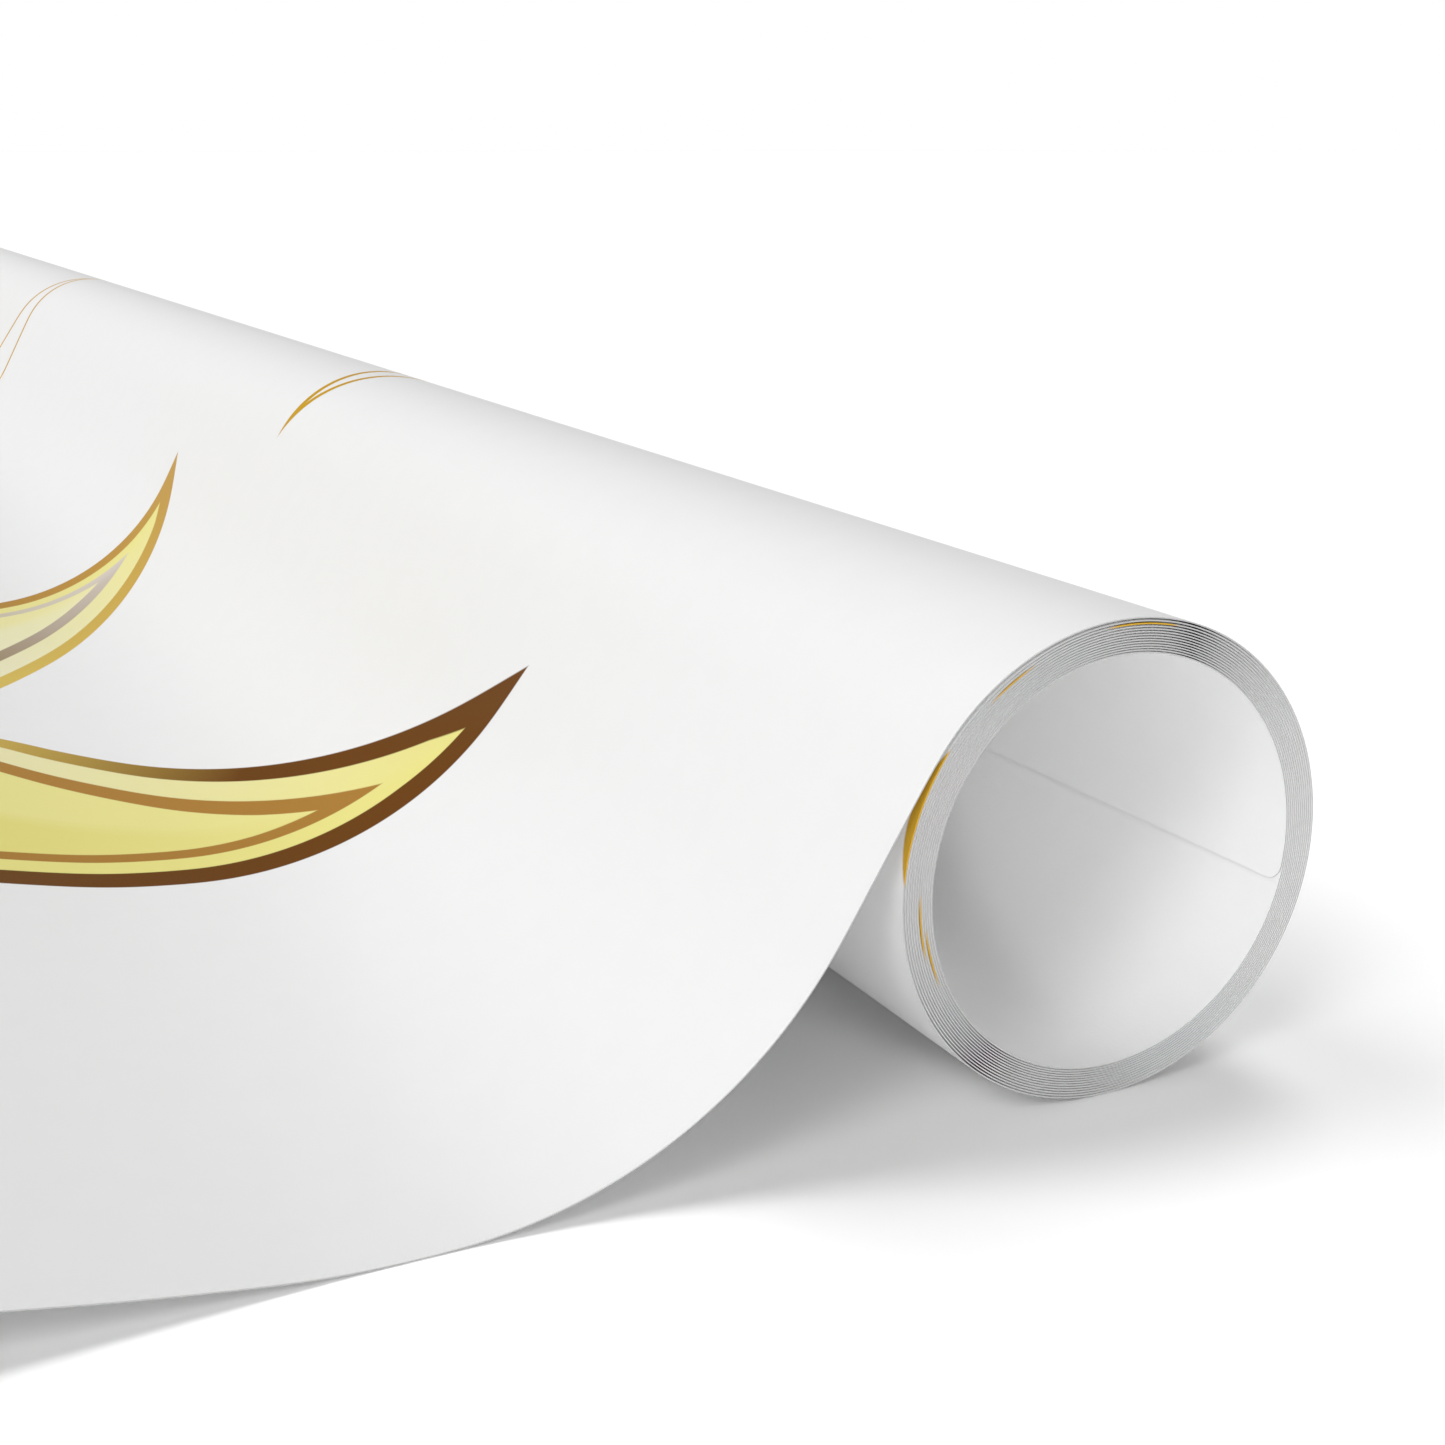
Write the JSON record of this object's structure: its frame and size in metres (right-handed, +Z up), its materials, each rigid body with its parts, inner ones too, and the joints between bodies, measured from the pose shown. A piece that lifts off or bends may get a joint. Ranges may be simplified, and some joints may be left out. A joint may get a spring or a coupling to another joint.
{
  "type": "wrapping paper roll",
  "caption": "Coreless roll of white satin gift wrap lying on its side, with an open bore, a lifted outer turn and a loose tail that lies along the floor.",
  "frame": {"origin": "on the floor, at the bottom centre of the whole thing's box: midway along the roll, and midway between the roll's back and the tail's free end", "axes": "+X along the roll, +Z up; the tail runs out towards -Y and the roll lies at +Y"},
  "size_m": [0.762, 0.2106, 0.0419],
  "materials": {
    "wrapping_paper": "satin"
  },
  "bodies": {
    "roll": {"inner_end": "wrapping_paper", "wrap_01": "wrapping_paper", "wrap_02": "wrapping_paper", "wrap_03": "wrapping_paper", "wrap_04": "wrapping_paper", "wrap_05": "wrapping_paper", "wrap_06": "wrapping_paper", "wrap_07": "wrapping_paper", "wrap_08": "wrapping_paper", "wrap_09": "wrapping_paper", "wrap_10": "wrapping_paper", "wrap_11": "wrapping_paper", "wrap_12": "wrapping_paper", "wrap_13": "wrapping_paper", "outer_wrap": "wrapping_paper"},
    "tail": {"tail_drop": "wrapping_paper", "tail_sweep_1": "wrapping_paper", "tail_sweep_2": "wrapping_paper", "tail_sweep_3": "wrapping_paper", "tail_sweep_4": "wrapping_paper", "tail_foot": "wrapping_paper"},
    "free_end": {"tail_rise": "wrapping_paper", "tail_crest": "wrapping_paper", "tail_fall": "wrapping_paper", "tail_landing": "wrapping_paper", "tail_end": "wrapping_paper"}
  },
  "joints": [
    {"name": "tail_lift", "type": "hinge", "parent": "roll", "child": "tail", "pos_m": [0, 0.06601, 0.0317], "axis": [-1, 0, 0], "range_deg": [0, 35]},
    {"name": "free_end_lift", "type": "hinge", "parent": "tail", "child": "free_end", "pos_m": [0, 0.02218, 0.00006], "axis": [-1, 0, 0], "range_deg": [0, 60]}
  ]
}
